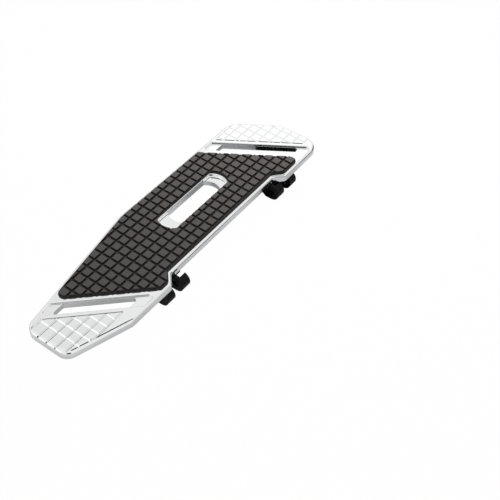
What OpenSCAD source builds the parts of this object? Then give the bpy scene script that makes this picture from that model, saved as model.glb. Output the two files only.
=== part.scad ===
// Motorcycle floorboard for the left side: a chromed billet deck with a ribbed rubber pad and
// two black hinge brackets. X points to the front wheel, Y away from the motorcycle, Z up.
// The origin is on the hinge axis, in the middle of the rear bracket.

/* [Deck] */
// Greatest width of the deck
deck_w = 114.5; // [110:0.5:125]
// Thickness of the deck
deck_t = 10; // [9:0.5:12]
// Distance between the two hinge brackets
hinge_pitch = 212; // [205:1:216]
// Distance from the rear hinge to the heel end
heel_reach = 149; // [145:1:160]
// Distance from the front hinge to the front end
front_reach = 74; // [70:1:85]
// How far the wide parts reach in past the hinge axis
overhang = 8.5; // [6:0.5:9]
// Radius of the rounded upper edge
edge_r = 2.5; // [1.5:0.5:3]

/* [Deck outline] */
// Angle of the tapered outer edge at the heel
taper_a = 9.8; // [8:0.1:11]
// Place along the deck where the taper starts
taper_x = 33; // [20:1:45]
// Angle of the cut inner edge at the heel
heel_cut_a = 18; // [14:1:20]
// Length of the cut inner edge, along the deck
heel_cut_len = 75; // [65:1:80]
// Length of the slanted front edge, across the deck
front_cut_w = 55; // [45:1:60]
// Depth of the recess in the inner edge between the hinges
recess_depth = 11; // [8:0.5:12]
// Distance from the heel corner of the pad to the middle of the rear step
recess_rear = 19.3; // [17:0.1:22]
// Distance from the middle of the front step to the front hinge
recess_front = 8; // [4:0.5:12]
// Angle of the steps of the recess
step_a = 42; // [38:1:50]
// Corner radius at the outer front
front_outer_r = 25; // [20:1:30]
// Corner radius at the end of the slanted front edge
front_cut_r = 30; // [20:1:35]
// Corner radius at the inner front
front_inner_r = 18; // [12:1:22]
// Radius where the outer edge starts to taper
taper_r = 60; // [30:5:90]
// Corner radius at the outer heel
heel_outer_r = 16; // [10:1:20]
// Corner radius at the inner heel
heel_inner_r = 14; // [10:1:18]
// Radius at the end of the cut inner edge
heel_cut_r = 20; // [10:1:30]
// Radius of the steps on the outside
step_out_r = 6; // [4:0.5:8]
// Radius of the steps on the inside
step_in_r = 8; // [5:0.5:10]

/* [Windows] */
// Width of the slanted windows
window_w = 15; // [12:0.5:16]
// Depth of the ledge at the ends of each window
ledge_depth = 3; // [2:0.5:4]
// Angle of the heel window to the length of the deck
heel_window_a = 45.8; // [42:0.2:50]
// Distance from the heel end to the heel window, in the middle of the deck
heel_window_at = 57; // [54:0.5:60]
// Length of the outer ledge in the heel window
heel_ledge = 6.5; // [5:0.5:14]
// Angle of the front window to the length of the deck
front_window_a = 56.2; // [52:0.2:60]
// Distance from the front end to the front window, in the middle of the deck
front_window_at = 56.4; // [53:0.2:60]
// Length of the outer ledge in the front window
front_ledge = 11.5; // [5:0.5:14]
// Length of the inner ledge in both slanted windows
inner_ledge = 12.5; // [8:0.5:16]
// Width of the land between the windows and the edge of the deck
window_land = 4.4; // [3.5:0.1:6]
// Radius in the corners of the windows
window_r = 3.5; // [2:0.5:5]
// Length of the recess of the middle window
slot_len = 107; // [95:1:110]
// Width of the middle window
slot_w = 26.5; // [22:0.5:28]
// Length of the ledge at the rear end of the middle window
slot_rear_ledge = 16.1; // [12:0.1:20]
// Length of the ledge at the front end of the middle window
slot_front_ledge = 11.9; // [8:0.1:16]
// Rise of the bowed ends of the middle window
bow = 5.5; // [4:0.5:8]
// How far the middle window lies in front of the middle of the hinges
slot_shift = 0.5; // [-4:0.5:4]
// Distance from the outer edge to the middle window
slot_margin = 38.95; // [36:0.05:42]

/* [Tread] */
// Pitch of the grooves in the pad and in the metal
pitch = 12; // [11:0.5:13]
// Width of a groove in the pad
pad_groove = 2.5; // [2:0.1:4]
// Depth of a groove in the pad
pad_groove_depth = 2; // [1:0.1:2.4]
// Width of a groove in the metal
cut_groove = 3; // [2:0.1:4]
// Depth of a groove in the metal
cut_depth = 1.2; // [0.6:0.1:1.6]
// Distance from a slanted window to the groove beside it
border = 5.5; // [4.5:0.1:7]
// Place of one groove across the deck, from the hinge axis
lattice_y = 8; // [0:0.5:12]
// Least distance from the inner edge to the first groove along the deck
tread_in = 15; // [10:0.5:18]
// Least distance from the outer edge to the grooves in the heel
heel_tread_out = 35; // [30:1:42]
// Least distance from the outer edge to the grooves in the front
front_tread_out = 10; // [8:0.5:14]
// Distance from the outer edge to the last groove in the front
front_border = 5.4; // [4:0.1:7]

/* [Pad] */
// Thickness of the pad
pad_t = 3.8; // [3:0.1:5]
// Width of the metal rim beside the pad
pad_rim = 3.5; // [3:0.1:5]
// Distance from the heel window to the pad
pad_heel_gap = 5; // [4:0.1:7]
// Distance from the front window to the pad
pad_front_gap = 7.4; // [5:0.1:9]
// How far the top of the pad is set in from its foot
pad_draft = 1.2; // [0.6:0.1:1.6]
// Corner radius of the pad at its inner front and outer heel
pad_r = 7; // [4:0.5:10]
// Corner radius of the pad at its inner heel
pad_heel_r = 4; // [2:0.5:6]
// Corner radius of the pad at its outer front
pad_front_r = 1.5; // [1:0.5:4]
// Clearance between the pad and the ends of the middle window
pad_slot_end = 1.5; // [0.5:0.1:3]
// Clearance between the pad and the sides of the middle window
pad_slot_side = 0.55; // [0.3:0.05:2]
// Distance from each hinge to the nearest pegs
peg_reach = 40; // [34:1:44]
// Distance from the long edges of the deck to the pegs
peg_margin = 21; // [18:0.5:24]
// Distance from the heel end to the last peg
heel_peg_x = 95; // [90:1:100]
// Distance from the outer edge to the last peg
heel_peg_y = 44; // [38:1:50]
// Diameter of the moulded pegs that hold the pad
peg_d = 8; // [6:0.1:9]
// Diameter of the heads of the pegs under the deck
peg_head_d = 11.5; // [10:0.1:13]
// Height of the heads of the pegs
peg_head_h = 3.5; // [2.5:0.1:5]

/* [Brackets] */
// Depth of the hinge axis below the deck
hinge_drop = 11; // [10.8:0.1:13]
// Radius of the rounded lugs
lug_r = 10.5; // [9:0.1:10.6]
// Distance from one lug to the next in a bracket
lug_pitch = 26; // [25:0.5:28]
// Width of a lug across its rim
lug_w = 13; // [12:0.5:14]
// Thickness of the flat side of a lug
web_t = 4; // [3:0.1:5]
// Thickness of the rim of a lug
rim_t = 3; // [2:0.1:4]
// Thickness of the foot of a bracket
foot_t = 3.2; // [2.5:0.1:4]
// Diameter of the pivot bore, for a pin of five sixteenths of an inch
pivot_d = 8; // [7.5:0.05:8.5]
// How far the flat underside of a lug runs out from the hinge axis
flat_y = 8; // [6:0.5:10]
// How far the brace of a lug runs out from the hinge axis
brace_y = 32; // [28:0.5:33]
// How far the foot runs out from the hinge axis
foot_y = 46; // [42:0.5:50]
// Slant across the front corner of the foot, along the deck
foot_cut_x = 10.5; // [6:0.5:14]
// Slant across the front corner of the foot, across the deck
foot_cut_y = 16; // [8:0.5:20]
// Corner radius of the foot
foot_r = 4; // [2:0.5:6]
// Gap between the foot and the inner edge of the deck in the recess
foot_gap = 0.5; // [0.3:0.1:1]

/* [Screws] */
// Diameter of the bracket screws, a quarter of an inch
screw_d = 6.3; // [5:0.1:6.5]
// Diameter of the screw heads
head_d = 9.5; // [8:0.1:10]
// Height of the screw heads
head_h = 6.3; // [4:0.1:7]
// Width across the flats of the hexagon socket
hex_w = 4.8; // [4:0.1:5]
// Distance from the hinge axis to the single screw
screw_near = 22; // [20:0.5:24]
// Distance from the hinge axis to the pair of screws
screw_far = 39; // [37:0.5:41]
// Distance between the screws of the pair
screw_pitch = 16.5; // [14:0.5:18]
// How far the screws lie behind the middle of the bracket
screw_shift = 4; // [2:0.5:6]
// Thickness of the deck that stays over a screw
screw_cover = 2; // [1.5:0.1:4]
// Thickness of the split washers
washer_t = 1.6; // [1:0.1:2]

/* [Hidden] */

// Levels, up from the hinge axis
deck_bottom = hinge_drop;
deck_top = deck_bottom + deck_t;
ledge_top = deck_top - ledge_depth;
pad_top = deck_top + pad_t;
foot_bottom = deck_bottom - foot_t;
washer_bottom = foot_bottom - washer_t;

// Edges of the deck
heel_x = -heel_reach;
front_x = hinge_pitch + front_reach;
inner_y = -overhang;
outer_y = inner_y + deck_w;
mid_y = (inner_y + outer_y) / 2;
recess_y = inner_y + recess_depth;
step_run = recess_depth / tan(step_a);
heel_window_x = heel_x + heel_window_at;
front_window_x = front_x - front_window_at;
slot_x = hinge_pitch / 2 + slot_shift;
slot_y = outer_y - slot_margin - slot_w / 2;
slot_open_x = slot_x + (slot_rear_ledge - slot_front_ledge) / 2;
slot_open_len = slot_len - slot_rear_ledge - slot_front_ledge;

// The line beside a slanted window, at a distance from its edge: side is the way from the
// window. Its place along the deck at the level y.
function line_x(x, a, side, gap, y) = x + side * (window_w / 2 + gap) / sin(a) + (mid_y - y) / tan(a);

// The steps of the recess
rear_step = line_x(heel_window_x, heel_window_a, 1, pad_heel_gap, inner_y + pad_rim) + recess_rear;
front_step = hinge_pitch - recess_front;
through = 1;      // how far cutters pass the surface that they cut
arc_steps = 8;    // flats in each rounded corner of an outline

// Corners of the deck, counter-clockwise from the outer front, each with its radius
deck_corners = [
    [front_x - front_cut_w / tan(front_window_a), outer_y, front_outer_r],
    [taper_x, outer_y, taper_r],
    [heel_x, outer_y - (taper_x - heel_x) * tan(taper_a), heel_outer_r],
    [heel_x, inner_y + heel_cut_len * tan(heel_cut_a), heel_inner_r],
    [heel_x + heel_cut_len, inner_y, heel_cut_r],
    [rear_step - step_run / 2, inner_y, step_out_r],
    [rear_step + step_run / 2, recess_y, step_in_r],
    [front_step - step_run / 2, recess_y, step_in_r],
    [front_step + step_run / 2, inner_y, step_out_r],
    [front_x, inner_y, front_inner_r],
    [front_x, outer_y - front_cut_w, front_cut_r]
];

// Tread lines between two limits, at whole pitches from a start
function whole(from, to, start) = [for (i = [ceil((from - start) / pitch) : floor((to - start) / pitch)])
    start + i * pitch];

// Places of the screws of a bracket, from the middle of its hinge
screws = [[-screw_shift, screw_near], [-screw_shift - screw_pitch / 2, screw_far],
          [-screw_shift + screw_pitch / 2, screw_far]];
// Places of the pegs of the pad: two rows between the brackets, and two pegs at the heel
peg_rows = [inner_y + peg_margin, outer_y - peg_margin];
pegs = concat([for (x = [peg_reach, slot_x, hinge_pitch - peg_reach], y = peg_rows) [x, y]],
    [[-peg_reach / 2, peg_rows[1]], [heel_x + heel_peg_x, outer_y - heel_peg_y]]);

// Small clearances and overlaps
fit = 0.05;        // radial clearance of pegs and screws in their holes
head_fit = 0.1;    // gap between the deck and the heads of the pegs
foot_room = 0.25;  // radial room round the screws in the feet of the brackets
washer_room = 0.15; // radial room round the screws in the washers
tip_room = 1;      // free depth past the tip of a screw
sunk = 0.5;        // how far the tread blocks and the pegs reach into what carries them
shank_in = 0.1;    // how far the shank of a screw reaches into its head
head_slope = 1;    // width and height of the slope under and round the head of a peg
web_end = 1;       // height of a web at the end of its brace, and how far it reaches into the foot
web_back = 4;      // how far out from the hinge axis a web is narrower than its lug
rim_back = 3;      // how far in from the hinge axis the rim of a lug ends
foot_in_r = 1.5;   // corner radius of the foot beside the recess
split_w = 0.8;     // width of the split in a washer
split_a = 20;      // lean of the split
washer_d = head_d + 0.6;
screw_len = deck_t + foot_t + washer_t - screw_cover - tip_room;

// Plane geometry
function unit(v) = v / norm(v);
function cross2(a, b) = a[0] * b[1] - a[1] * b[0];
function meet(p, u, q, v) = p + u * cross2(q - p, v) / cross2(u, v);
function xy(p) = [p[0], p[1]];

// Corners moved inwards by d: convex radii shrink and hollow radii grow
function inset(c, d) = [for (i = [0 : len(c) - 1])
    let (n = len(c), a = xy(c[(i + n - 1) % n]), b = xy(c[i]), e = xy(c[(i + 1) % n]),
         u = unit(b - a), v = unit(e - b), nu = [-u[1], u[0]], nv = [-v[1], v[0]],
         p = meet(a + nu * d, u, b + nv * d, v), turn = cross2(u, v) > 0 ? 1 : -1)
    [p[0], p[1], max(0.3, c[i][2] - turn * d)]];

// Points of an outline with rounded corners
function rounded(c) = [for (i = [0 : len(c) - 1])
    let (n = len(c), a = xy(c[(i + n - 1) % n]), b = xy(c[i]), e = xy(c[(i + 1) % n]),
         u = unit(b - a), v = unit(e - b), turn = atan2(cross2(u, v), u * v), side = turn > 0 ? 1 : -1,
         nu = [-u[1], u[0]] * side, r = c[i][2], t = r * tan(abs(turn) / 2),
         centre = b - u * t + nu * r, from = atan2(-nu[1], -nu[0]))
    for (k = [0 : arc_steps]) let (w = from + turn * k / arc_steps) centre + r * [cos(w), sin(w)]];

// What is cut from the upper edge of a plate to round it with radius r: a closed ring whose
// section is the corner outside the arc. It runs past the side and the top of the plate.
module edge_cutter(corners, z1, r, steps) {
    slope = tan(90 / steps / 2);
    section = concat([[-slope * through, z1 - r - through]],
        [for (k = [1 : steps - 1]) [r * (1 - cos(90 * k / steps)), z1 - r + r * sin(90 * k / steps)]],
        [[r + through, z1 + slope * through], [-3 * through, z1 + slope * through],
         [-3 * through, z1 - r - through]]);
    m = len(section);
    rings = [for (q = section) rounded(inset(corners, q[0]))];
    n = len(rings[0]);
    polyhedron([for (k = [0 : m - 1]) for (p = rings[k]) [p[0], p[1], section[k][1]]],
        [for (k = [0 : m - 1], i = [0 : n - 1]) let (j = (i + 1) % n, l = (k + 1) % m)
            [k * n + i, k * n + j, l * n + j, l * n + i]], convexity = 10);
}

module flat_plate(corners, z0, z1) {
    translate([0, 0, z0]) linear_extrude(z1 - z0) polygon(rounded(corners));
}

// Corners of a slanted window between two levels across the deck. The line of its middle
// crosses mid_y at x and falls towards the front at angle a. out is the far end's slope.
function slanted(x, a, w, y_in, y_out, out) = let (u = [-cos(a), sin(a)], across = [sin(a), cos(a)] * w / 2,
    far = [1, tan(out)], l = [x, mid_y] - across, r = [x, mid_y] + across)
    [for (p = [meet(l, u, [x, y_in], [1, 0]), meet(r, u, [x, y_in], [1, 0]),
               meet(r, u, [0, y_out], far), meet(l, u, [0, y_out], far)]) [p[0], p[1], window_r]];

land_y = inner_y + window_land;
wall_step = 0.3;  // an opening is this much narrower than the recess round it
heel_out_y = outer_y - taper_x * tan(taper_a) - window_land / cos(taper_a);
heel_pocket = slanted(heel_window_x, heel_window_a, window_w, land_y, heel_out_y, taper_a);
heel_open = slanted(heel_window_x, heel_window_a, window_w - wall_step, land_y + inner_ledge,
    heel_pocket[3][1] - heel_ledge, 0);
front_pocket = slanted(front_window_x, front_window_a, window_w, land_y, outer_y - window_land, 0);
front_open = slanted(front_window_x, front_window_a, window_w - wall_step, land_y + inner_ledge,
    outer_y - window_land - front_ledge, 0);

// The middle window has bowed ends
module bowed_slot(x, len, w, z0, z1) {
    r = (w * w / 4 + bow * bow) / (2 * bow);
    half = asin(w / 2 / r);
    translate([x, slot_y, z0]) linear_extrude(z1 - z0) polygon([for (side = [1, -1], k = [-6 : 6])
        side * [len / 2 - r + r * cos(half * k / 6), r * sin(half * k / 6)]]);
}

// A straight groove of V section in the top of the deck. Crossing grooves differ a little in
// depth, so that each one ends inside the next.
across_depth = cut_depth - 0.15;
slant_depth = cut_depth + 0.1;
module groove(from, to, depth) {
    d = to - from;
    translate([from[0], from[1], deck_top]) rotate([0, 0, atan2(d[1], d[0])]) rotate([90, 0, 90])
        linear_extrude(norm(d)) polygon([[0, -depth], [cut_groove, depth], [-cut_groove, depth]]);
}

heel_rows = whole(inner_y + tread_in, outer_y - heel_tread_out, lattice_y);
module heel_tread() {
    low = heel_rows[0];
    high = heel_rows[len(heel_rows) - 1];
    function end(y) = line_x(heel_window_x, heel_window_a, -1, border, y);
    for (y = heel_rows) groove([heel_x - through, y], [end(y), y], cut_depth);
    for (x = whole(heel_x, end(low) - pitch / 2, 0)) {
        y = mid_y - (x - end(mid_y)) * tan(heel_window_a);
        groove([x, low], [x, min(high, y)], across_depth);
    }
    groove([end(high), high], [end(low), low], slant_depth);
}

front_rows = whole(inner_y + tread_in, outer_y - front_tread_out, lattice_y);
module front_tread() {
    low = front_rows[0];
    high = outer_y - front_border;
    function start(y) = line_x(front_window_x, front_window_a, 1, border, y);
    for (y = concat(front_rows, [high])) groove([start(y), y], [front_x + through, y], cut_depth);
    for (x = whole(start(high), front_x, 0)) {
        y = mid_y - (x - start(mid_y)) * tan(front_window_a);
        groove([x, max(low, y)], [x, high], across_depth);
    }
    groove([start(low), low], [start(high), high], slant_depth);
}

module deck() {
    color("gainsboro") difference() {
        flat_plate(deck_corners, deck_bottom, deck_top);
        edge_cutter(deck_corners, deck_top, edge_r, 5);
        for (c = [heel_pocket, front_pocket]) flat_plate(c, ledge_top, deck_top + through);
        for (c = [heel_open, front_open]) flat_plate(c, deck_bottom - through, ledge_top + through);
        bowed_slot(slot_x, slot_len, slot_w, ledge_top, deck_top + through);
        bowed_slot(slot_open_x, slot_open_len, slot_w - wall_step,
            deck_bottom - through, ledge_top + through);
        heel_tread();
        front_tread();
        for (p = pegs) translate([p[0], p[1], deck_bottom - through])
            cylinder(d = peg_d, h = deck_t + 2 * through, $fn = 48);
        for (h = [0, hinge_pitch], s = screws) translate([h + s[0], s[1], deck_bottom - through])
            cylinder(d = screw_d + 2 * fit, h = deck_t - screw_cover + through, $fn = 48);
    }
}

// Corners of the foot of the pad
pad_in = inner_y + pad_rim;
pad_out = outer_y - pad_rim;
pad_steps = inset(deck_corners, pad_rim);
heel_edge = [-cos(heel_window_a), sin(heel_window_a)];
pad_heel = [line_x(heel_window_x, heel_window_a, 1, pad_heel_gap, pad_in), pad_in];
pad_heel_out = meet(pad_heel, heel_edge, xy(pad_steps[1]), xy(pad_steps[2]) - xy(pad_steps[1]));
pad_corners = [
    [line_x(front_window_x, front_window_a, -1, pad_front_gap, pad_out), pad_out, pad_front_r],
    pad_steps[1],
    [pad_heel_out[0], pad_heel_out[1], pad_r],
    [pad_heel[0], pad_heel[1], pad_heel_r],
    pad_steps[5], pad_steps[6], pad_steps[7], pad_steps[8],
    [line_x(front_window_x, front_window_a, -1, pad_front_gap, pad_in), pad_in, pad_r]
];

module tread_blocks() {
    intersection() {
        polygon(rounded(inset(pad_corners, pad_draft)));
        for (x = whole(heel_x, front_x, pitch / 2),
             y = whole(inner_y - pitch, outer_y + pitch, lattice_y + pitch / 2))
            translate([x, y]) square(pitch - pad_groove, center = true);
    }
}

module pad() {
    color([0.25, 0.24, 0.23]) {
        difference() {
            union() {
                flat_plate(pad_corners, deck_top, pad_top - pad_groove_depth);
                translate([0, 0, pad_top - pad_groove_depth - sunk])
                    linear_extrude(pad_groove_depth + sunk) tread_blocks();
            }
            bowed_slot(slot_x, slot_len + 2 * pad_slot_end, slot_w + 2 * pad_slot_side,
                deck_top - through, pad_top + through);
        }
        for (p = pegs) translate([p[0], p[1], 0]) {
            translate([0, 0, deck_bottom - sunk])
                cylinder(d = peg_d - 2 * fit, h = deck_t + 2 * sunk, $fn = 48);
            translate([0, 0, deck_bottom - peg_head_h]) rotate_extrude($fn = 48) polygon([
                [0, 0], [peg_d / 2 - head_slope, 0], [peg_head_d / 2, peg_head_h - head_slope],
                [peg_head_d / 2, peg_head_h - head_fit], [0, peg_head_h - head_fit]]);
        }
    }
}

// Side view of a lug: a round end below the deck and a long brace under the foot
module lug_side() {
    difference() {
        union() {
            circle(lug_r, $fn = 96);
            polygon([[0, -lug_r], [flat_y, -lug_r], [brace_y, foot_bottom - web_end],
                [brace_y, foot_bottom + web_end], [web_back, foot_bottom + web_end], [0, lug_r]]);
        }
        circle(d = pivot_d, $fn = 96);
    }
}

module lug_rim() {
    difference() {
        union() {
            circle(lug_r, $fn = 96);
            translate([0, -lug_r]) square([flat_y, rim_t]);
        }
        circle(lug_r - rim_t, $fn = 96);
        translate([-rim_back, -lug_r + rim_t]) square([rim_back + 2 * lug_r, 2 * lug_r]);
    }
}

module bracket(x) {
    color([0.07, 0.07, 0.08]) translate([x, 0, 0]) difference() {
        union() {
            flat_plate(foot_corners, foot_bottom, deck_bottom);
            for (s = [-1, 1]) translate([(s * lug_pitch - lug_w) / 2, 0, 0]) rotate([90, 0, 90]) {
                linear_extrude(web_t) lug_side();
                linear_extrude(lug_w) lug_rim();
            }
        }
        for (p = screws) translate([p[0], p[1], foot_bottom - through])
            cylinder(d = screw_d + 2 * foot_room, h = foot_t + 2 * through, $fn = 48);
    }
}
foot_half = (lug_pitch + lug_w) / 2;
foot_in = recess_y + foot_gap;
foot_corners = [[foot_half, foot_y - foot_cut_y, foot_r], [foot_half - foot_cut_x, foot_y, foot_r],
    [-foot_half, foot_y, foot_r], [-foot_half, foot_in, foot_in_r], [foot_half, foot_in, foot_in_r]];

module screw(x, p) {
    color("dimgray") translate([x + p[0], p[1], washer_bottom]) {
        translate([0, 0, -shank_in]) cylinder(d = screw_d, h = screw_len, $fn = 48);
        translate([0, 0, -head_h]) difference() {
            cylinder(d = head_d, h = head_h, $fn = 64);
            translate([0, 0, -through]) cylinder(d = hex_w / cos(30), h = head_h / 2 + through, $fn = 6);
        }
    }
}

module washer(x, p) {
    color("silver") translate([x + p[0], p[1], washer_bottom]) difference() {
        cylinder(d = washer_d, h = washer_t, $fn = 64);
        translate([0, 0, -through])
            cylinder(d = screw_d + 2 * washer_room, h = washer_t + 2 * through, $fn = 48);
        rotate([0, split_a, 0]) translate([-split_w / 2, 0, -through])
            cube([split_w, head_d, washer_t + 3 * through]);
    }
}

deck();
pad();
bracket(0);  // rear_bracket
bracket(hinge_pitch);  // front_bracket
screw(0, screws[0]);  // rear_screw_1
screw(0, screws[1]);  // rear_screw_2
screw(0, screws[2]);  // rear_screw_3
screw(hinge_pitch, screws[0]);  // front_screw_1
screw(hinge_pitch, screws[1]);  // front_screw_2
screw(hinge_pitch, screws[2]);  // front_screw_3
washer(0, screws[0]);  // rear_washer_1
washer(0, screws[1]);  // rear_washer_2
washer(0, screws[2]);  // rear_washer_3
washer(hinge_pitch, screws[0]);  // front_washer_1
washer(hinge_pitch, screws[1]);  // front_washer_2
washer(hinge_pitch, screws[2]);  // front_washer_3
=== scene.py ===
"""Looks for a left-hand motorcycle floorboard: chromed deck, ribbed rubber pad, black hinge brackets.

Lengths in the helper functions are millimetres; meshes are made in metres.
"""
import math

import bmesh
import bpy
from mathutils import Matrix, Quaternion, Vector
from mathutils.geometry import tessellate_polygon


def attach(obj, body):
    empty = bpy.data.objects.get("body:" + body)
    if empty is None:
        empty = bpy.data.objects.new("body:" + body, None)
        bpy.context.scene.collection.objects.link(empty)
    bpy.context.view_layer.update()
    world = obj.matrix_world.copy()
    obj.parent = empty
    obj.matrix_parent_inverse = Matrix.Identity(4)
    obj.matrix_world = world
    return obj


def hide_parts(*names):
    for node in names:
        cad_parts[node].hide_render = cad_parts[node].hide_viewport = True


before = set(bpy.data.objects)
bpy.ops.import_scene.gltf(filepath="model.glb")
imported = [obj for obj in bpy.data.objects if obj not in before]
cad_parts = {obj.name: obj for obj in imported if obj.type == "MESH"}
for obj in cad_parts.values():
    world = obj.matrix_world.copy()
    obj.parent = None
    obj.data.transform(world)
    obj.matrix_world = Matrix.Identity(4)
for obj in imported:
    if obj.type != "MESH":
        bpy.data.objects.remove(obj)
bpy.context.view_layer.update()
MM = 0.001

# Camera first: the photograph's solved viewpoint
camera_data = bpy.data.cameras.new("camera")
camera_data.sensor_width = 36
camera_data.lens = 64.18
camera = bpy.data.objects.new("camera", camera_data)
camera.location = (-0.48018, -0.43179, 0.76139)
aim = Vector((0.08271, -0.04667, 0.021)) - camera.location
camera.rotation_mode = "QUATERNION"
camera.rotation_quaternion = aim.to_track_quat("-Z", "Y") @ Quaternion((0, 0, 1), math.radians(2.212))
bpy.context.collection.objects.link(camera)
bpy.context.scene.camera = camera

# Sizes, as in the part's source
DECK_BOTTOM, DECK_TOP, PAD_TOP = 11.0, 21.0, 24.8
HEEL_X, FRONT_X, INNER_Y, OUTER_Y = -149.0, 286.0, -8.5, 106.0
MID_Y, RECESS_Y = 48.75, 2.5
LEDGE_TOP = 18.0
LIPS, EDGE_R, HEEL_R = (1.3, 1.0, 1.3), 2.8, 5.4
PITCH, LATTICE_Y = 12.0, 8.0
WINDOW_W, LAND = 15.0, 4.4
HEEL_A, HEEL_WX, FRONT_A, FRONT_WX = 45.8, -92.0, 56.2, 229.6
TAPER_X, TAPER_A = 33.0, 9.8
STEP_RUN = 11 / math.tan(math.radians(42))


def tan(a):
    return math.tan(math.radians(a))


def sin(a):
    return math.sin(math.radians(a))


def cos(a):
    return math.cos(math.radians(a))


# ---- plane geometry -------------------------------------------------------------------------

def meet(p, u, q, v):
    """Where the line through p along u meets the line through q along v."""
    k = (q - p).cross(v) / u.cross(v)
    return p + u * k


def rounded(corners, steps=10):
    """Points of an outline whose corners (x, y, radius) are rounded."""
    out = []
    n = len(corners)
    for i in range(n):
        a, b, c = (Vector(corners[(i + k) % n][:2]) for k in (-1, 0, 1))
        u, v = (b - a).normalized(), (c - b).normalized()
        turn = math.atan2(u.cross(v), u.dot(v))
        side = 1 if turn > 0 else -1
        normal = Vector((-u.y, u.x)) * side
        r = corners[i][2]
        centre = b - u * (r * math.tan(abs(turn) / 2)) + normal * r
        start = math.atan2(-normal.y, -normal.x)
        for k in range(steps + 1):
            w = start + turn * k / steps
            out.append(centre + Vector((math.cos(w), math.sin(w))) * r)
    return out


def offset(points, d):
    """The outline moved inwards by d; a negative d moves it outwards."""
    out = []
    n = len(points)
    for i in range(n):
        a, b, c = points[i - 1], points[i], points[(i + 1) % n]
        u, v = (b - a).normalized(), (c - b).normalized()
        nu, nv = Vector((-u.y, u.x)), Vector((-v.y, v.x))
        out.append(b + (nu + nv) * (d / (1 + nu.dot(nv))))
    return out


def shifted(corners, d):
    """Sharp corners of an outline moved inwards by d, with their radii."""
    points = offset([Vector(c[:2]) for c in corners], d)
    return [(p.x, p.y, c[2]) for p, c in zip(points, corners)]


DECK_CORNERS = [
    (FRONT_X - 55 / tan(FRONT_A), OUTER_Y, 25),
    (TAPER_X, OUTER_Y, 60),
    (HEEL_X, OUTER_Y - (TAPER_X - HEEL_X) * tan(TAPER_A), 16),
    (HEEL_X, INNER_Y + 75 * tan(18), 14),
    (HEEL_X + 75, INNER_Y, 20),
    (-3 - STEP_RUN / 2, INNER_Y, 6),
    (-3 + STEP_RUN / 2, RECESS_Y, 8),
    (204 - STEP_RUN / 2, RECESS_Y, 8),
    (204 + STEP_RUN / 2, INNER_Y, 6),
    (FRONT_X, INNER_Y, 18),
    (FRONT_X, OUTER_Y - 55, 30),
]


def slanted(x, a, w, y_in, y_out, slope, r=3.5):
    """Rounded outline of a slanted window between two levels across the deck."""
    u = Vector((-cos(a), sin(a)))
    across = Vector((sin(a), cos(a))) * (w / 2)
    far = Vector((1, tan(slope)))
    left, right = Vector((x, MID_Y)) - across, Vector((x, MID_Y)) + across
    level, end = Vector((x, y_in)), Vector((0, y_out))
    corners = [meet(left, u, level, Vector((1, 0))), meet(right, u, level, Vector((1, 0))),
               meet(right, u, end, far), meet(left, u, end, far)]
    return rounded([(p.x, p.y, r) for p in corners])


def bowed(x, length, w, bow=5.5, steps=10):
    """Outline of a slot with bowed ends."""
    r = (w * w / 4 + bow * bow) / (2 * bow)
    half = math.asin(w / 2 / r)
    points = []
    for side in (1, -1):
        for k in range(-steps, steps + 1):
            t = half * k / steps
            points.append(Vector((x, 53.8)) + side * Vector((length / 2 - r + r * math.cos(t), r * math.sin(t))))
    return points


LAND_Y = INNER_Y + LAND
HEEL_OUT_Y = OUTER_Y - TAPER_X * tan(TAPER_A) - LAND / cos(TAPER_A)
HEEL_END_Y = meet(Vector((HEEL_WX, MID_Y)) - Vector((sin(HEEL_A), cos(HEEL_A))) * 7.5,
                  Vector((-cos(HEEL_A), sin(HEEL_A))), Vector((0, HEEL_OUT_Y)), Vector((1, tan(TAPER_A)))).y
WINDOWS = [
    (slanted(HEEL_WX, HEEL_A, WINDOW_W, LAND_Y, HEEL_OUT_Y, TAPER_A),
     slanted(HEEL_WX, HEEL_A, WINDOW_W - 0.3, LAND_Y + 12.5, HEEL_END_Y - 6.5, 0)),
    (slanted(FRONT_WX, FRONT_A, WINDOW_W, LAND_Y, OUTER_Y - LAND, 0),
     slanted(FRONT_WX, FRONT_A, WINDOW_W - 0.3, LAND_Y + 12.5, OUTER_Y - LAND - 11.5, 0)),
    (bowed(106.5, 107, 26.5), bowed(108.6, 79, 26.2)),
]


# ---- mesh helpers ---------------------------------------------------------------------------

def ring(bm, points, z):
    return [bm.verts.new((p.x * MM, p.y * MM, z * MM)) for p in points]


def skin(bm, rings):
    """Strips of faces between rings of the same length."""
    for low, high in zip(rings, rings[1:]):
        n = len(low)
        for i in range(n):
            j = (i + 1) % n
            bm.faces.new((low[i], low[j], high[j], high[i]))


def plate(bm, outer, holes):
    """A flat face inside the ring outer with the rings of holes left open."""
    loops = [outer] + holes
    verts = [v for loop in loops for v in loop]
    for tri in tessellate_polygon([[v.co for v in loop] for loop in loops]):
        bm.faces.new([verts[i] for i in tri])


def arc(r, steps=6):
    """(inset, rise) of a quarter round of radius r, from a side up to a top."""
    return [(r * (1 - math.cos(math.pi / 2 * k / steps)), r * math.sin(math.pi / 2 * k / steps))
            for k in range(steps + 1)]


def finish_mesh(bm, name, angle=30):
    bmesh.ops.recalc_face_normals(bm, faces=bm.faces)
    mesh = bpy.data.meshes.new(name)
    bm.to_mesh(mesh)
    bm.free()
    mesh.shade_smooth()
    mesh.set_sharp_from_angle(angle=math.radians(angle))
    obj = bpy.data.objects.new(name, mesh)
    bpy.context.collection.objects.link(obj)
    return obj


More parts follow.
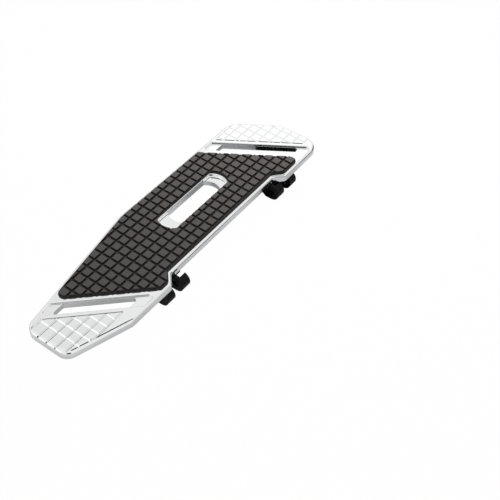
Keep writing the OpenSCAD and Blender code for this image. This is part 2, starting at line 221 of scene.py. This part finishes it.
def settle(obj, angle=30):
    """Applies the modifiers of obj to a plain mesh."""
    bpy.context.view_layer.update()
    graph = bpy.context.evaluated_depsgraph_get()
    mesh = bpy.data.meshes.new_from_object(obj.evaluated_get(graph), preserve_all_data_layers=True,
                                           depsgraph=graph)
    obj.modifiers.clear()
    old = obj.data
    obj.data = mesh
    mesh.name = obj.name
    bpy.data.meshes.remove(old)
    mesh.shade_smooth()
    mesh.set_sharp_from_angle(angle=math.radians(angle))
    return obj


def cut(obj, cutter, operation="DIFFERENCE", solver="EXACT"):
    modifier = obj.modifiers.new("cut", "BOOLEAN")
    modifier.operation = operation
    modifier.object = cutter
    modifier.solver = solver


def weigh(obj):
    """Lets the large flat faces set the normals at their edges."""
    modifier = obj.modifiers.new("weigh", "WEIGHTED_NORMAL")
    modifier.keep_sharp = True
    modifier.weight = 90
    bpy.context.view_layer.update()
    graph = bpy.context.evaluated_depsgraph_get()
    mesh = bpy.data.meshes.new_from_object(obj.evaluated_get(graph), preserve_all_data_layers=True,
                                           depsgraph=graph)
    obj.modifiers.clear()
    old, obj.data = obj.data, mesh
    bpy.data.meshes.remove(old)
    mesh.name = obj.name
    return obj


# ---- deck -----------------------------------------------------------------------------------

HINGES = (0.0, 212.0)
SCREWS = [(h + x, y) for h in HINGES for x, y in ((-4, 22), (-12.25, 39), (4.25, 39))]
PEGS = [(x, y) for x in (40, 106.5, 172) for y in (12.5, 85)] + [(-20, 85), (-54, 62)]


def circle(x, y, r, steps=40):
    return [Vector((x + r * math.cos(2 * math.pi * k / steps), y + r * math.sin(2 * math.pi * k / steps)))
            for k in range(steps)]


def ramp(value, low, high):
    """A soft step from 0 at low to 1 at high."""
    t = min(1, max(0, (value - low) / (high - low)))
    return t * t * (3 - 2 * t)


def heel_share(p):
    """How far the upper edge at p takes the heel's large rounding."""
    return max(ramp(p.x, -132, -143) * ramp(p.y, 68, 55), ramp(p.x, -66, -82) * ramp(p.y, 34, 24))


def deck_body():
    bm = bmesh.new()
    outline = rounded(DECK_CORNERS)
    shares = [heel_share(p) for p in outline]
    rings = [ring(bm, offset(outline, 0.5), DECK_BOTTOM), ring(bm, outline, DECK_BOTTOM + 0.5)]
    for (i, h), (wide, high) in zip(arc(EDGE_R, 10), arc(HEEL_R, 10)):
        near, far = offset(outline, i), offset(outline, wide)
        low, up = DECK_TOP - EDGE_R + h, DECK_TOP - HEEL_R + high
        rings.append([bm.verts.new((*(a.lerp(b, t) * MM), (low + (up - low) * t) * MM))
                      for a, b, t in zip(near, far, shares)])
    skin(bm, rings)
    tops, bottoms = [], []
    for (pocket, opening), r in zip(WINDOWS, LIPS):
        lip = [ring(bm, offset(pocket, -i), DECK_TOP - r + h) for i, h in reversed(arc(r, 5))]
        floor = [ring(bm, pocket, LEDGE_TOP + 0.3), ring(bm, offset(pocket, 0.1), LEDGE_TOP)]
        edge = [ring(bm, offset(opening, i), LEDGE_TOP - h) for i, h in ((-0.0, 0.0), (0.12, 0.25))]
        foot = [ring(bm, offset(opening, 0.12), DECK_BOTTOM + 0.4), ring(bm, offset(opening, -0.2), DECK_BOTTOM)]
        skin(bm, lip + floor + edge + foot)
        tops.append(lip[0])
        bottoms.append(foot[-1])
    for x, y in PEGS:
        hole = [ring(bm, circle(x, y, 4.0), z) for z in (DECK_TOP, DECK_BOTTOM)]
        skin(bm, hole)
        tops.append(hole[0])
        bottoms.append(hole[1])
    for x, y in SCREWS:
        hole = [ring(bm, circle(x, y, 3.2), z) for z in (DECK_TOP - 2, DECK_BOTTOM)]
        skin(bm, hole)
        bm.faces.new(hole[0])
        bottoms.append(hole[1])
    plate(bm, rings[-1], tops)
    plate(bm, rings[0], bottoms)
    return finish_mesh(bm, "deck_body")


def groove_cutter(name, runs):
    """V cutters with softened lips along the runs ((x, y), (x, y), depth)."""
    bm = bmesh.new()
    for start, end, depth in runs:
        a, b = Vector(start), Vector(end)
        u = (b - a).normalized()
        side = Vector((-u.y, u.x))
        w = 1.5
        bevel = [(w - 0.72, -0.36)] if depth > 1.25 else []
        half = [(0.12, -depth)] + bevel + [(w - 0.06, -0.05), (w + 0.06, 0.03), (w + 0.4, 1.5)]
        section = half + [(-s, z) for s, z in reversed(half)]
        loops = []
        for p in (a, b):
            loops.append([bm.verts.new(((p.x + side.x * s) * MM, (p.y + side.y * s) * MM, (DECK_TOP + z) * MM))
                          for s, z in section])
        n = len(section)
        for i in range(n):
            j = (i + 1) % n
            bm.faces.new((loops[0][i], loops[0][j], loops[1][j], loops[1][i]))
        bm.faces.new(loops[0])
        bm.faces.new(loops[1])
    return finish_mesh(bm, name)


def end_notch(y):
    """V cutter for the run of a row groove down the heel end."""
    bm = bmesh.new()
    loops = []
    for k in range(9):
        t = math.pi / 2 * k / 8
        depth = 1.1 * (1 - k / 9) + 0.05
        x, z = HEEL_X + HEEL_R - (HEEL_R - depth) * math.sin(t), DECK_TOP - HEEL_R + (HEEL_R - depth) * math.cos(t)
        out_x, out_z = HEEL_X + HEEL_R - (HEEL_R + 1) * math.sin(t), DECK_TOP - HEEL_R + (HEEL_R + 1) * math.cos(t)
        w = (depth + 1) * 1.25
        loops.append([bm.verts.new(((px) * MM, (y + side) * MM, pz * MM))
                      for px, side, pz in ((out_x, -w, out_z), (out_x, w, out_z), (x, 0, z))])
    skin(bm, loops)
    bm.faces.new(loops[0])
    bm.faces.new(loops[-1])
    return finish_mesh(bm, "groove")


def border(x, a, side, y, gap=5.5):
    """X of the slanted groove beside a window at the level y."""
    return x + side * (WINDOW_W / 2 + gap) / sin(a) + (MID_Y - y) / tan(a)


def whole(low, high, start):
    first = math.ceil((low - start) / PITCH)
    return [start + i * PITCH for i in range(first, math.floor((high - start) / PITCH) + 1)]


def tread_runs():
    rows = whole(INNER_Y + 15, OUTER_Y - 35, LATTICE_Y)
    low, high = rows[0], rows[-1]
    end = lambda y: border(HEEL_WX, HEEL_A, -1, y)
    along = [((HEEL_X - 1, y), (end(y), y), 1.3 if y == high else 1.2) for y in rows]
    for x in whole(HEEL_X + HEEL_R, end(low) - PITCH / 2, 0):
        y = MID_Y - (x - end(MID_Y)) * tan(HEEL_A)
        along.append(((x, low), (x, min(high, y)), 1.05))
    along.append(((end(high), high), (end(low), low), 1.3))

    rows = whole(INNER_Y + 15, OUTER_Y - 10, LATTICE_Y)
    low, high = rows[0], OUTER_Y - 5.4
    start = lambda y: border(FRONT_WX, FRONT_A, 1, y)
    for y in rows + [high]:
        along.append(((start(y), y), (FRONT_X + 1, y), 1.2))
    for x in whole(start(high), FRONT_X, 0):
        y = MID_Y - (x - start(MID_Y)) * tan(FRONT_A)
        along.append(((x, max(low, y)), (x, high), 1.05))
    along.append(((start(low), low), (start(high), high), 1.3))
    return along


def make_deck():
    body = deck_body()
    cutters = [groove_cutter("groove", [run]) for run in tread_runs()]
    cutters += [end_notch(y) for y in whole(INNER_Y + 36, OUTER_Y - 45, LATTICE_Y)]
    for c in cutters:
        cut(body, c, solver="MANIFOLD")
    body.name = "deck_chrome"
    settle(body, 30)
    for c in cutters:
        mesh = c.data
        bpy.data.objects.remove(c)
        bpy.data.meshes.remove(mesh)
    return weigh(body)


# ---- pad ------------------------------------------------------------------------------------

def line_x(x, a, side, gap, y):
    return x + side * (WINDOW_W / 2 + gap) / sin(a) + (MID_Y - y) / tan(a)


def pad_corners():
    inner, outer = INNER_Y + 3.5, OUTER_Y - 3.5
    steps = shifted(DECK_CORNERS, 3.5)
    heel = Vector((line_x(HEEL_WX, HEEL_A, 1, 5, inner), inner))
    p, q = Vector(steps[1][:2]), Vector(steps[2][:2])
    heel_out = meet(heel, Vector((-cos(HEEL_A), sin(HEEL_A))), p, q - p)
    return [(line_x(FRONT_WX, FRONT_A, -1, 7.4, outer), outer, 1.5), (p.x, p.y, 56),
            (heel_out.x, heel_out.y, 7), (heel.x, heel.y, 4),
            steps[5][:2] + (9.5,), steps[6][:2] + (4.5,), steps[7][:2] + (4.5,), steps[8][:2] + (9.5,),
            (line_x(FRONT_WX, FRONT_A, -1, 7.4, inner), inner, 7)]


def prism(name, outer, hole, levels):
    """A plate with one hole. levels are (inset, z) from the bottom to the top."""
    bm = bmesh.new()
    rings = [ring(bm, offset(outer, i), z) for i, z in levels]
    inner = [ring(bm, offset(hole, -i), z) for i, z in levels]
    skin(bm, rings)
    skin(bm, inner)
    plate(bm, rings[-1], [inner[-1]])
    plate(bm, rings[0], [inner[0]])
    return finish_mesh(bm, name)


def tread_group(block):
    """Geometry Nodes group: a lattice of copies of one tread block."""
    g = bpy.data.node_groups.new("tread_lattice", "GeometryNodeTree")
    face = g.interface
    face.new_socket("Geometry", in_out="INPUT", socket_type="NodeSocketGeometry")
    for name, kind in (("Columns", "NodeSocketInt"), ("Rows", "NodeSocketInt"), ("Pitch", "NodeSocketFloat"),
                       ("Corner", "NodeSocketVector"), ("Block", "NodeSocketObject"),
                       ("Material", "NodeSocketMaterial")):
        face.new_socket(name, in_out="INPUT", socket_type=kind)
    face.new_socket("Geometry", in_out="OUTPUT", socket_type="NodeSocketGeometry")
    n, link = g.nodes, g.links.new
    entry, out = n.new("NodeGroupInput"), n.new("NodeGroupOutput")
    grid = n.new("GeometryNodeMeshGrid")
    for axis, count in (("X", "Columns"), ("Y", "Rows")):
        less = n.new("ShaderNodeMath"); less.operation = "SUBTRACT"; less.inputs[1].default_value = 1
        span = n.new("ShaderNodeMath"); span.operation = "MULTIPLY"
        link(entry.outputs[count], less.inputs[0])
        link(less.outputs[0], span.inputs[0])
        link(entry.outputs["Pitch"], span.inputs[1])
        link(span.outputs[0], grid.inputs["Size " + axis])
        link(entry.outputs[count], grid.inputs["Vertices " + axis])
    move = n.new("GeometryNodeTransform")
    link(grid.outputs["Mesh"], move.inputs["Geometry"])
    link(entry.outputs["Corner"], move.inputs["Translation"])
    info = n.new("GeometryNodeObjectInfo")
    link(entry.outputs["Block"], info.inputs["Object"])
    copies = n.new("GeometryNodeInstanceOnPoints")
    link(move.outputs["Geometry"], copies.inputs["Points"])
    link(info.outputs["Geometry"], copies.inputs["Instance"])
    real = n.new("GeometryNodeRealizeInstances")
    link(copies.outputs["Instances"], real.inputs["Geometry"])
    paint = n.new("GeometryNodeSetMaterial")
    link(real.outputs["Geometry"], paint.inputs["Geometry"])
    link(entry.outputs["Material"], paint.inputs["Material"])
    link(paint.outputs["Geometry"], out.inputs["Geometry"])
    return g


def tread_block():
    """One block: a square with softened corners and slightly drafted sides."""
    bm = bmesh.new()
    h = 9.5 / 2
    square = rounded([(-h, -h, 0.5), (h, -h, 0.5), (h, h, 0.5), (-h, h, 0.5)], 3)
    rings = [ring(bm, offset(square, i), z) for i, z in ((-0.15, -1.0), (0, 1.2), (0.1, 1.65), (0.35, 1.93),
                                                         (0.65, 2.0))]
    skin(bm, rings)
    bm.faces.new(rings[0])
    bm.faces.new(rings[-1])
    return finish_mesh(bm, "tread_block")


def make_pegs(bm):
    """Moulded pegs with flat heads under the deck."""
    profile = [(2.2, DECK_BOTTOM - 3.5), (2.9, DECK_BOTTOM - 3.4), (5.5, DECK_BOTTOM - 1.2),
               (5.72, DECK_BOTTOM - 0.85), (5.75, DECK_BOTTOM - 0.35), (5.6, DECK_BOTTOM - 0.1),
               (3.95, DECK_BOTTOM - 0.1), (3.95, DECK_TOP + 0.5)]
    for x, y in PEGS:
        loops = [ring(bm, circle(x, y, r), z) for r, z in profile]
        skin(bm, loops)
        bm.faces.new(loops[0])
        bm.faces.new(loops[-1])


def make_pad(material):
    corners = pad_corners()
    outer = rounded(corners)
    hole = bowed(106.5, 110, 27.6)
    base_top = PAD_TOP - 2.0
    base = prism("pad_base", outer, hole, [(0, DECK_TOP + 0.02), (0.15, base_top - 0.5), (0.3, base_top - 0.15),
                                           (0.65, base_top)])
    block = tread_block()
    columns, rows = whole(-130, 235, PITCH / 2), whole(INNER_Y - 6, OUTER_Y + 6, LATTICE_Y + PITCH / 2)
    bed = bpy.data.objects.new("pad_blocks", bpy.data.meshes.new("pad_blocks"))
    bpy.context.collection.objects.link(bed)
    group = tread_group(block)
    grow = bed.modifiers.new("lattice", "NODES")
    grow.node_group = group
    ids = {s.name: s.identifier for s in group.interface.items_tree if s.in_out == "INPUT"}
    grow[ids["Columns"]] = len(columns)
    grow[ids["Rows"]] = len(rows)
    grow[ids["Pitch"]] = PITCH * MM
    grow[ids["Corner"]] = ((columns[0] + columns[-1]) / 2 * MM, (rows[0] + rows[-1]) / 2 * MM, base_top * MM)
    grow[ids["Block"]] = block
    grow[ids["Material"]] = material
    trim = prism("pad_trim", offset(outer, 1.2), offset(hole, -1.0), [(-0.5, base_top - 0.6), (0, base_top + 1.3),
                                                                     (0.15, PAD_TOP - 0.25), (0.5, PAD_TOP + 0.05)])
    cut(bed, trim, "INTERSECT", "MANIFOLD")
    settle(bed, 35)
    bm = bmesh.new()
    bm.from_mesh(base.data)
    bm.from_mesh(bed.data)
    make_pegs(bm)
    pad = finish_mesh(bm, "pad_rubber", 35)
    for o in (base, bed, block, trim):
        mesh = o.data
        bpy.data.objects.remove(o)
        bpy.data.meshes.remove(mesh)
    pad.data.materials.append(material)
    return weigh(pad)


# ---- brackets, screws and washers: the CAD form with softened edges ---------------------------

def soften(node, name, width, angle=35):
    bm = bmesh.new()
    bm.from_mesh(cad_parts[node].data)
    bmesh.ops.remove_doubles(bm, verts=bm.verts, dist=2e-6)
    bmesh.ops.dissolve_limit(bm, angle_limit=math.radians(0.6), verts=bm.verts, edges=bm.edges)
    obj = finish_mesh(bm, name, angle)
    bevel = obj.modifiers.new("bevel", "BEVEL")
    bevel.width = width * MM
    bevel.segments = 3
    bevel.limit_method = "ANGLE"
    bevel.angle_limit = math.radians(angle)
    bevel.use_clamp_overlap = True
    settle(obj, angle)
    return weigh(obj)


# ---- materials ------------------------------------------------------------------------------

def grain_group():
    """Shared fine variation: roughness that wanders between two values, and a faint bump."""
    g = bpy.data.node_groups.new("surface_grain", "ShaderNodeTree")
    for name, value in (("Scale", 400.0), ("Roughness Low", 0.1), ("Roughness High", 0.2), ("Bump", 0.02),
                        ("Depth", 0.0001)):
        s = g.interface.new_socket(name, in_out="INPUT", socket_type="NodeSocketFloat")
        s.default_value = value
    g.interface.new_socket("Roughness", in_out="OUTPUT", socket_type="NodeSocketFloat")
    g.interface.new_socket("Normal", in_out="OUTPUT", socket_type="NodeSocketVector")
    g.interface.new_socket("Fac", in_out="OUTPUT", socket_type="NodeSocketFloat")
    n, link = g.nodes, g.links.new
    entry, out = n.new("NodeGroupInput"), n.new("NodeGroupOutput")
    place = n.new("ShaderNodeTexCoord")
    noise = n.new("ShaderNodeTexNoise")
    noise.inputs["Detail"].default_value = 4
    link(place.outputs["Object"], noise.inputs["Vector"])
    link(entry.outputs["Scale"], noise.inputs["Scale"])
    spread = n.new("ShaderNodeMapRange")
    spread.inputs["From Min"].default_value = 0.3
    spread.inputs["From Max"].default_value = 0.7
    link(noise.outputs["Fac"], spread.inputs["Value"])
    link(entry.outputs["Roughness Low"], spread.inputs["To Min"])
    link(entry.outputs["Roughness High"], spread.inputs["To Max"])
    bump = n.new("ShaderNodeBump")
    link(noise.outputs["Fac"], bump.inputs["Height"])
    link(entry.outputs["Bump"], bump.inputs["Strength"])
    link(entry.outputs["Depth"], bump.inputs["Distance"])
    link(spread.outputs["Result"], out.inputs["Roughness"])
    link(bump.outputs["Normal"], out.inputs["Normal"])
    link(noise.outputs["Fac"], out.inputs["Fac"])
    return g


GRAIN = grain_group()


def material(name, colour, metallic, scale, rough, bump, depth):
    m = bpy.data.materials.new(name)
    m.use_nodes = True
    n, link = m.node_tree.nodes, m.node_tree.links.new
    shader = n["Principled BSDF"]
    shader.inputs["Metallic"].default_value = metallic
    grain = n.new("ShaderNodeGroup")
    grain.node_tree = GRAIN
    grain.inputs["Scale"].default_value = scale
    grain.inputs["Roughness Low"].default_value = rough[0]
    grain.inputs["Roughness High"].default_value = rough[1]
    grain.inputs["Bump"].default_value = bump
    grain.inputs["Depth"].default_value = depth
    link(grain.outputs["Roughness"], shader.inputs["Roughness"])
    link(grain.outputs["Normal"], shader.inputs["Normal"])
    tone = n.new("ShaderNodeMix")
    tone.data_type = "RGBA"
    tone.inputs[6].default_value = (*colour[0], 1)
    tone.inputs[7].default_value = (*colour[1], 1)
    link(grain.outputs["Fac"], tone.inputs["Factor"])
    link(tone.outputs[2], shader.inputs["Base Color"])
    return m, n, link, shader, tone


def rubber_material():
    # painted shade: this near-black colour darkens the pad's sides and grooves; the tops get their own grey below
    m, n, link, shader, tone = material("pad_rubber", ((0.009, 0.008, 0.007), (0.014, 0.012, 0.011)), 0, 900,
                                        (0.42, 0.55), 0.25, 0.00015)
    place = n.new("ShaderNodeTexCoord")
    split = n.new("ShaderNodeSeparateXYZ")
    link(place.outputs["Object"], split.inputs["Vector"])
    # painted light and shade: only faces near the top get the rubber's grey, so the tops read lit and the sides and
    # grooves shaded
    height = n.new("ShaderNodeMapRange")
    height.inputs["From Min"].default_value = (PAD_TOP - 0.5) * MM
    height.inputs["From Max"].default_value = (PAD_TOP - 0.05) * MM
    link(split.outputs["Z"], height.inputs["Value"])
    top = n.new("ShaderNodeMix")
    top.data_type = "RGBA"
    top.inputs[7].default_value = (0.077, 0.068, 0.063, 1)
    link(height.outputs["Result"], top.inputs["Factor"])
    link(tone.outputs[2], top.inputs[6])
    # painted shade: the foot of the pad's sides is darkened to nearly black, a contact shadow against the deck
    foot = n.new("ShaderNodeMapRange")
    foot.inputs["From Min"].default_value = (DECK_TOP + 0.6) * MM
    foot.inputs["From Max"].default_value = (DECK_TOP + 1.7) * MM
    foot.inputs["To Min"].default_value = 0.1
    link(split.outputs["Z"], foot.inputs["Value"])
    dark = n.new("ShaderNodeVectorMath")
    dark.operation = "SCALE"
    link(top.outputs[2], dark.inputs[0])
    link(foot.outputs["Result"], dark.inputs["Scale"])
    link(dark.outputs["Vector"], shader.inputs["Base Color"])
    shader.inputs["Specular IOR Level"].default_value = 0.4
    return m


CHROME = material("deck_chrome", ((0.88, 0.89, 0.89), (0.93, 0.93, 0.93)), 1, 60, (0.03, 0.07), 0.03, 0.0001)[0]
RUBBER = rubber_material()
BLACK, _, _, black_shader, _ = material("bracket_black", ((0.003, 0.003, 0.0035), (0.006, 0.006, 0.0065)), 0, 500,
                                        (0.22, 0.34), 0.08, 0.0001)
black_shader.inputs["Specular IOR Level"].default_value = 0.12
OXIDE = material("screw_steel", ((0.03, 0.03, 0.032), (0.06, 0.06, 0.062)), 1, 900, (0.3, 0.45), 0.1, 0.0001)[0]
ZINC = material("washer_steel", ((0.5, 0.5, 0.5), (0.62, 0.62, 0.61)), 1, 700, (0.2, 0.35), 0.1, 0.0001)[0]

deck = make_deck()
deck.data.materials.clear()
deck.data.materials.append(CHROME)
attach(deck, "root")
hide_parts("deck")

pad = make_pad(RUBBER)
pad.data.materials.clear()
pad.data.materials.append(RUBBER)
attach(pad, "root")
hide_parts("pad")

for end in ("rear", "front"):
    jobs = [(f"{end}_bracket", 0.6, BLACK, "bracket_black")]
    jobs += [(f"{end}_screw_{k}", 0.3, OXIDE, "screw_steel") for k in (1, 2, 3)]
    jobs += [(f"{end}_washer_{k}", 0.12, ZINC, "washer_steel") for k in (1, 2, 3)]
    for node, width, finish, slot in jobs:
        piece = soften(node, "soft_" + node, width)
        piece.data.materials.clear()
        piece.data.materials.append(finish)
        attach(piece, "root")
        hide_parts(node)


# ---- floor, world and lamps -------------------------------------------------------------------

def calc(tree, op, a, b=None):
    node = tree.nodes.new("ShaderNodeMath")
    node.operation = op
    for socket, value in zip(node.inputs, (a, b)):
        if isinstance(value, (int, float)):
            socket.default_value = value
        elif value is not None:
            tree.links.new(value, socket)
    return node.outputs[0]


def span(tree, value, low, high, out_low=0.0, out_high=1.0):
    """A soft step of value from out_low to out_high."""
    node = tree.nodes.new("ShaderNodeMapRange")
    node.interpolation_type = "SMOOTHSTEP"
    for name, v in (("From Min", low), ("From Max", high), ("To Min", out_low), ("To Max", out_high)):
        node.inputs[name].default_value = v
    tree.links.new(value, node.inputs["Value"])
    return node.outputs["Result"]


def toward(tree, vector, direction):
    """Cosine between a vector socket and a fixed direction."""
    node = tree.nodes.new("ShaderNodeVectorMath")
    node.operation = "DOT_PRODUCT"
    tree.links.new(vector, node.inputs[0])
    node.inputs[1].default_value = Vector(direction).normalized()
    return node.outputs["Value"]


def add_floor():
    bm = bmesh.new()
    bmesh.ops.create_grid(bm, x_segments=1, y_segments=1, size=3)
    floor = finish_mesh(bm, "floor")
    floor.location = (0, 0, -0.0108)
    m = bpy.data.materials.new("floor")
    m.use_nodes = True
    tree = m.node_tree
    n, link = tree.nodes, tree.links.new
    shader = n["Principled BSDF"]
    shader.inputs["Roughness"].default_value = 0.9
    shader.inputs["Specular IOR Level"].default_value = 0.1
    place = n.new("ShaderNodeTexCoord")
    split = n.new("ShaderNodeSeparateXYZ")
    link(place.outputs["Object"], split.inputs["Vector"])
    # deep shade under the front bracket, seen only as a reflection in the front window
    along = calc(tree, "ADD", calc(tree, "MULTIPLY", split.outputs["X"], -0.556),
                 calc(tree, "MULTIPLY", split.outputs["Y"], 0.831))
    across = calc(tree, "ADD", calc(tree, "MULTIPLY", split.outputs["X"], 0.831),
                  calc(tree, "MULTIPLY", split.outputs["Y"], 0.556))
    shade = calc(tree, "MULTIPLY", calc(tree, "MULTIPLY", span(tree, across, 0.150, 0.160),
                                        span(tree, across, 0.225, 0.215)),
                 calc(tree, "MULTIPLY", span(tree, along, -0.083, -0.086), span(tree, along, -0.150, -0.142)))
    shade = calc(tree, "MULTIPLY", shade, span(tree, split.outputs["Y"], -0.016, -0.012))
    # painted shade on the floor, seen only in reflections: darker further out on the inner side and past the front
    # corner, for the line under the rounded inner edge
    edge_x = calc(tree, "ADD", split.outputs["X"], calc(tree, "MULTIPLY", split.outputs["Y"], 0.72))
    level = calc(tree, "MULTIPLY", span(tree, edge_x, -0.02, 0.03), span(tree, edge_x, 0.085, 0.140, 0.98, 0.50))
    level = calc(tree, "MAXIMUM", level, span(tree, edge_x, 0.225, 0.260, 0.0, 0.98))
    far = calc(tree, "MULTIPLY", span(tree, split.outputs["Y"], -0.034, -0.044), level)
    far = calc(tree, "MAXIMUM", far, calc(tree, "MULTIPLY", span(tree, split.outputs["X"], 0.310, 0.330, 0.0, 0.95),
                                     span(tree, split.outputs["Y"], 0.0, -0.02)))
    # painted shade for reflections: the floor also darker towards the front end of the board
    shade = calc(tree, "MAXIMUM", calc(tree, "MAXIMUM", shade, far), span(tree, split.outputs["X"], 0.14, 0.26, 0.0, 0.34))
    tone = n.new("ShaderNodeMix")
    tone.data_type = "RGBA"
    tone.inputs[6].default_value = (0.60, 0.615, 0.63, 1)
    tone.inputs[7].default_value = (0.015, 0.015, 0.015, 1)
    path = n.new("ShaderNodeLightPath")
    # the small deep shadow between the lugs of the front bracket
    spot = n.new("ShaderNodeVectorMath")
    spot.operation = "DISTANCE"
    link(place.outputs["Object"], spot.inputs[0])
    spot.inputs[1].default_value = (0.217, 0.012, 0)
    spot = span(tree, spot.outputs["Value"], 0.008, 0.014, 1.0, 0.0)
    link(calc(tree, "MAXIMUM", calc(tree, "MULTIPLY", shade, path.outputs["Is Glossy Ray"]),
              calc(tree, "MULTIPLY", spot, path.outputs["Is Camera Ray"])), tone.inputs["Factor"])
    link(tone.outputs[2], shader.inputs["Base Color"])
    glow = n.new("ShaderNodeEmission")
    mix = n.new("ShaderNodeMixShader")
    # painted light: for reflections only the floor glows, more outside the inner side and towards the heel, less
    # under the board
    mirrored = calc(tree, "MULTIPLY", path.outputs["Is Glossy Ray"], calc(tree, "MULTIPLY",
                    calc(tree, "SUBTRACT", 1.0, shade),
                    span(tree, calc(tree, "MINIMUM", split.outputs["Y"],
                                    calc(tree, "MULTIPLY", 0.12, calc(tree, "ADD", split.outputs["X"], 0.15))),
                         0.02, -0.012, 0.12, 0.25)))
    mirrored = calc(tree, "ADD", mirrored, calc(tree, "MULTIPLY", path.outputs["Is Glossy Ray"],
                                                span(tree, split.outputs["X"], -0.05, -0.17, 0.0, 0.21)))
    seen = calc(tree, "MULTIPLY", path.outputs["Is Camera Ray"],
                calc(tree, "MULTIPLY", 0.992, calc(tree, "SUBTRACT", 1.0, spot)))
    link(calc(tree, "ADD", seen, mirrored), mix.inputs["Fac"])
    link(shader.outputs[0], mix.inputs[1])
    link(glow.outputs[0], mix.inputs[2])
    # from underneath the floor is clear
    clear, back = n.new("ShaderNodeBsdfTransparent"), n.new("ShaderNodeNewGeometry")
    open_side = n.new("ShaderNodeMixShader")
    link(calc(tree, "MULTIPLY", back.outputs["Backfacing"], path.outputs["Is Camera Ray"]), open_side.inputs["Fac"])
    link(mix.outputs[0], open_side.inputs[1])
    link(clear.outputs[0], open_side.inputs[2])
    link(open_side.outputs[0], n["Material Output"].inputs["Surface"])
    floor.data.materials.append(m)


def add_world():
    """A studio round the object: pale walls, soft boxes, a dark screen and a small dark flag."""
    world = bpy.data.worlds.new("studio")
    bpy.context.scene.world = world
    world.use_nodes = True
    tree = world.node_tree
    n, link = tree.nodes, tree.links.new
    place = n.new("ShaderNodeTexCoord")
    split = n.new("ShaderNodeSeparateXYZ")
    link(place.outputs["Generated"], split.inputs["Vector"])
    z = split.outputs["Z"]
    way = place.outputs["Generated"]
    wall = calc(tree, "ADD", span(tree, toward(tree, way, (0.367, 0.516, 0.774)), 0.9955, 0.9998, 0.895, 0.83), span(tree, toward(tree, way, (0.64, 0.43, 0.615)), 0.9955, 0.9995, 0.0, 0.34))
    wall = calc(tree, "ADD", wall, span(tree, toward(tree, way, (-0.75, 0.50, 0.42)), 0.92, 0.98, 0.0, 0.22))
    wall = calc(tree, "SUBTRACT", wall, span(tree, toward(tree, way, (0.34, -0.68, 0.65)), 0.962, 0.996, 0.0, 0.16))
    corner = span(tree, toward(tree, way, (0.93, -0.35, 0.10)), 0.90, 0.96, 1.0, 0.08)
    wall = calc(tree, "MULTIPLY", wall, corner)
    # a dark screen behind the camera
    wall = calc(tree, "MULTIPLY", wall, span(tree, toward(tree, way, (-0.62, -0.62, 0.45)), 0.935, 0.97, 1.0, 0.1))
    # a dark flag under the ceiling
    wall = calc(tree, "MULTIPLY", wall, span(tree, toward(tree, way, (0.19, -0.26, 0.947)), 0.970, 0.981, 1.0, 0.02))
    skirting = span(tree, toward(tree, way, (0.66, -0.75, 0.0)), 0.80, 0.97, 0.5, 0.03)
    rise = span(tree, z, 0.02, 0.10)
    level = calc(tree, "ADD", calc(tree, "MULTIPLY", wall, rise),
                 calc(tree, "MULTIPLY", skirting, calc(tree, "SUBTRACT", 1.0, rise)))
    grey = n.new("ShaderNodeCombineColor")
    for socket in grey.inputs:
        link(level, socket)
    path = n.new("ShaderNodeLightPath")
    # diffuse light comes from an even dome, mirrors see the room, the camera sees white
    even = n.new("ShaderNodeMix")
    even.data_type = "RGBA"
    even.inputs[7].default_value = (0.37, 0.37, 0.37, 1)
    link(path.outputs["Is Diffuse Ray"], even.inputs["Factor"])
    link(grey.outputs["Color"], even.inputs[6])
    white = n.new("ShaderNodeMix")
    white.data_type = "RGBA"
    white.inputs[7].default_value = (1, 1, 1, 1)
    link(path.outputs["Is Camera Ray"], white.inputs["Factor"])
    link(even.outputs[2], white.inputs[6])
    link(white.outputs[2], n["Background"].inputs["Color"])


def add_lamp(name, place, target, size, power):
    data = bpy.data.lights.new(name, "AREA")
    data.shape = "RECTANGLE"
    data.size, data.size_y = size
    data.energy = power
    lamp = bpy.data.objects.new(name, data)
    lamp.location = place
    lamp.rotation_mode = "QUATERNION"
    lamp.rotation_quaternion = (Vector(target) - Vector(place)).to_track_quat("-Z", "Y")
    lamp.visible_glossy = lamp.visible_camera = False
    bpy.context.collection.objects.link(lamp)


add_floor()
add_world()
add_lamp("key", (0.50, 0.18, 0.34), (0.14, 0.05, 0), (0.4, 0.4), 3.2)

bpy.context.scene.view_settings.view_transform = "Standard"
